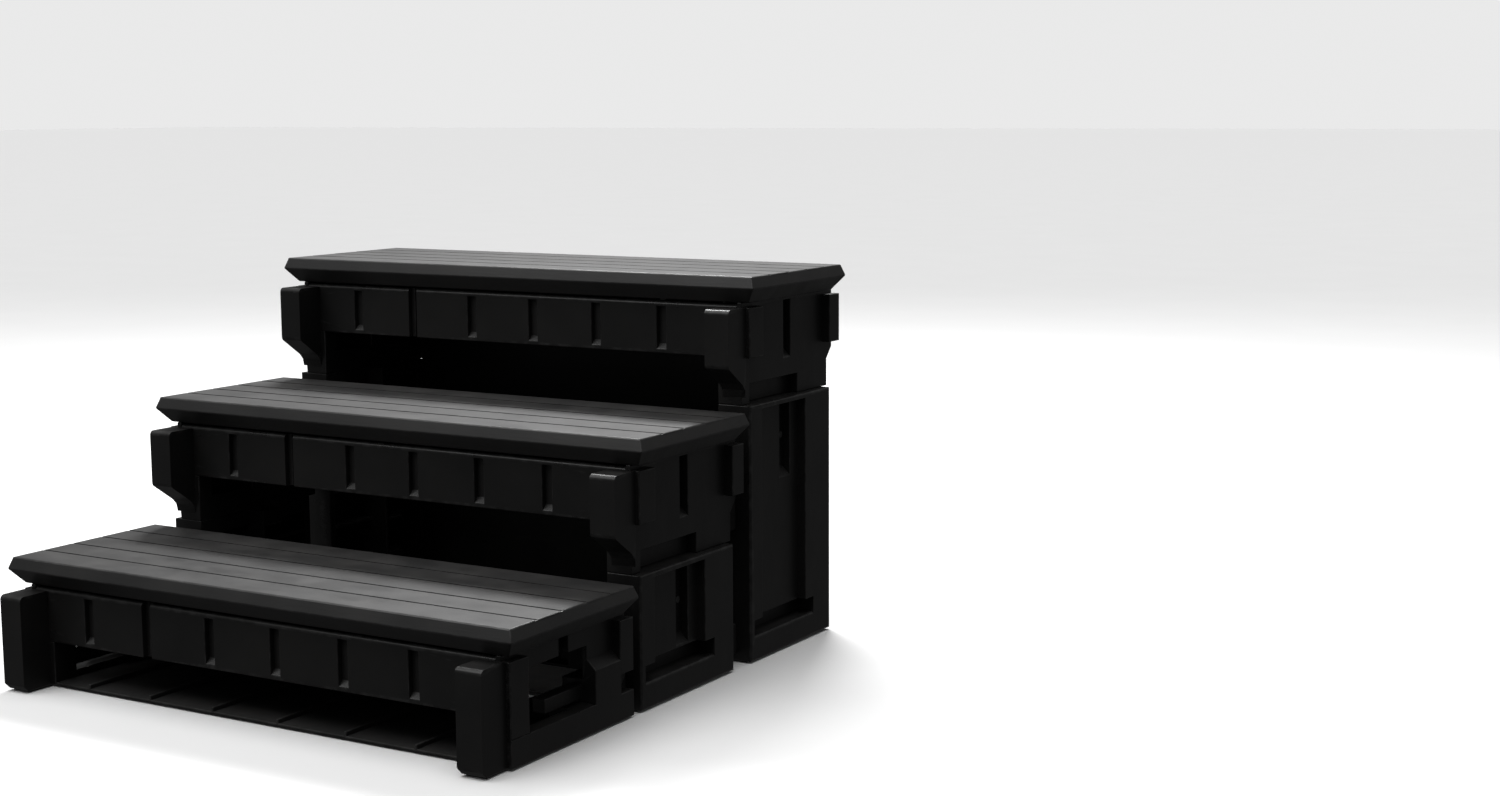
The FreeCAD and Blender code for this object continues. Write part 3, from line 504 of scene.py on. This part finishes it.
def screw_mesh(length):
    """A pan-head screw with a cross recess and a ringed shank; the head's top is at the origin."""
    mesh = bmesh.new()
    rings = dome_rings(mesh)
    rings.append(ring(mesh, HEAD_RADIUS * RIM, -HEAD_HEIGHT))
    rings.append(ring(mesh, SHANK_RADIUS, -HEAD_HEIGHT))
    rings += thread_rings(mesh, length)
    for upper, lower in zip(rings, rings[1:]):
        join_rings(mesh, upper, lower)
    mesh.faces.new(list(reversed(rings[-1])))
    mouth = cross_outline(mesh, RECESS_REACH, RECESS_HALF, 0.0)
    floor_reach, floor_half = RECESS_REACH * FLOOR_REACH, RECESS_HALF * FLOOR_HALF
    floor = cross_outline(mesh, floor_reach, floor_half, -RECESS_DEPTH)
    crown = loop_edges(mesh, rings[0]) + loop_edges(mesh, mouth)
    bmesh.ops.triangle_fill(mesh, use_beauty=True, use_dissolve=False, edges=crown)
    join_rings(mesh, list(reversed(mouth)), list(reversed(floor)))
    mesh.faces.new(floor)
    bmesh.ops.recalc_face_normals(mesh, faces=mesh.faces)
    return mesh


def screws(node):
    """Every screw of a node as one piece."""
    whole = bmesh.new()
    for points in islands(node):
        place, length = screw_frame(points)
        single = screw_mesh(length)
        single.transform(place)
        data = bpy.data.meshes.new("screw")
        single.to_mesh(data)
        single.free()
        whole.from_mesh(data)
        bpy.data.meshes.remove(data)
    mesh = bpy.data.meshes.new(node + "_cut")
    whole.to_mesh(mesh)
    whole.free()
    mesh.shade_smooth()
    mesh.set_sharp_from_angle(angle=SCREW_SMOOTH)
    finish_piece(new_object(node + "_cut", mesh), node)


for name, slot in SLOT.items():
    if slot == "screw_steel":
        screws(name)
    else:
        moulded(name)


# ---------------------------------------------------------------- floor, light and camera
def make_floor():
    mesh = bmesh.new()
    bmesh.ops.create_grid(mesh, x_segments=2, y_segments=2, size=FLOOR_HALF_SIDE)
    data = bpy.data.meshes.new("floor")
    mesh.to_mesh(data)
    mesh.free()
    floor = new_object("floor", data)
    shader = Shader("floor")
    shader.set(
        Base_Color=shader.blend(shader.noise(scale=3.0, detail=4.0), grey(0.79), grey(0.82)),
        Roughness=0.9,
        Specular_IOR_Level=0.1,
    )
    floor.data.materials.append(shader.material)
    floor.visible_diffuse = False
    floor.visible_glossy = False


def toward(azimuth, elevation):
    """The direction at this azimuth from +Y towards +X, and this elevation, in degrees."""
    a, e = math.radians(azimuth), math.radians(elevation)
    return Vector((math.sin(a) * math.cos(e), math.cos(a) * math.cos(e), math.sin(e)))


def facing(direction):
    """The turn that points a lamp back along this direction."""
    return (-direction).to_track_quat("-Z", "Y").to_matrix().to_4x4()


def softbox(name, direction, size, power):
    """A soft panel that faces the steps from this direction."""
    light = bpy.data.lights.new(name, "AREA")
    light.shape = "RECTANGLE"
    light.size, light.size_y = size
    light.energy = power
    obj = new_object(name, light)
    outward = direction.normalized()
    obj.matrix_world = Matrix.Translation(AIM + outward * LAMP_DISTANCE) @ facing(outward)
    obj.visible_camera = False


def overhead_sun(direction, strength, spread):
    """A light from above that reaches the whole floor, so wide that no shadow of it is hard."""
    light = bpy.data.lights.new("overhead", "SUN")
    light.energy = strength
    light.angle = math.radians(spread)
    new_object("overhead", light).matrix_world = facing(direction)


def make_world():
    """A dim dome that is brighter overhead; behind the steps the camera sees a pale backdrop."""
    world = bpy.data.worlds.new("studio")
    bpy.context.scene.world = world
    world.use_nodes = True
    sky = Nodes(world.node_tree)
    dome = sky.tree.nodes["Background"]
    dome.inputs["Strength"].default_value = 1.0
    place = sky.add("ShaderNodeTexCoord")
    parts = sky.add("ShaderNodeSeparateXYZ")
    sky.put(parts.inputs["Vector"], place.outputs["Generated"])
    sky.put(dome.inputs["Color"], sky.remap(parts.outputs["Z"], (-0.1, 0.9), (0.09, 0.26)))
    backdrop = sky.add("ShaderNodeBackground")
    backdrop.inputs["Color"].default_value = grey(BACKDROP)
    seen = sky.add("ShaderNodeLightPath")
    mix = sky.add("ShaderNodeMixShader")
    sky.put(mix.inputs["Fac"], seen.outputs["Is Camera Ray"])
    sky.put(mix.inputs[1], dome.outputs["Background"])
    sky.put(mix.inputs[2], backdrop.outputs["Background"])
    sky.put(sky.tree.nodes["World Output"].inputs["Surface"], mix.outputs["Shader"])


def make_light():
    make_world()
    softbox("back_softbox", toward(azimuth=-27, elevation=50), size=(1.8, 0.5), power=170)
    overhead_sun(toward(azimuth=-150, elevation=78), strength=2.5, spread=60)
    softbox("front_fill", toward(azimuth=-152, elevation=42), size=(3.0, 0.6), power=20)


def make_camera():
    camera = bpy.data.cameras.new("camera")
    camera.sensor_width = SENSOR_WIDTH
    camera.lens = FOCAL_LENGTH
    camera.clip_start = NEAREST_SEEN
    obj = new_object("camera", camera)
    forward = Vector((
        math.sin(CAMERA_AZIMUTH) * math.cos(CAMERA_PITCH),
        math.cos(CAMERA_AZIMUTH) * math.cos(CAMERA_PITCH),
        -math.sin(CAMERA_PITCH),
    ))
    level_right = Vector((math.cos(CAMERA_AZIMUTH), -math.sin(CAMERA_AZIMUTH), 0.0))
    level_up = level_right.cross(forward)
    right = math.cos(CAMERA_ROLL) * level_right + math.sin(CAMERA_ROLL) * level_up
    up = -math.sin(CAMERA_ROLL) * level_right + math.cos(CAMERA_ROLL) * level_up
    turn = Matrix((right, up, -forward)).transposed().to_4x4()
    obj.matrix_world = Matrix.Translation(CAMERA_PLACE) @ turn
    bpy.context.scene.camera = obj


make_floor()
make_light()
make_camera()
bpy.context.scene.view_settings.view_transform = "Standard"
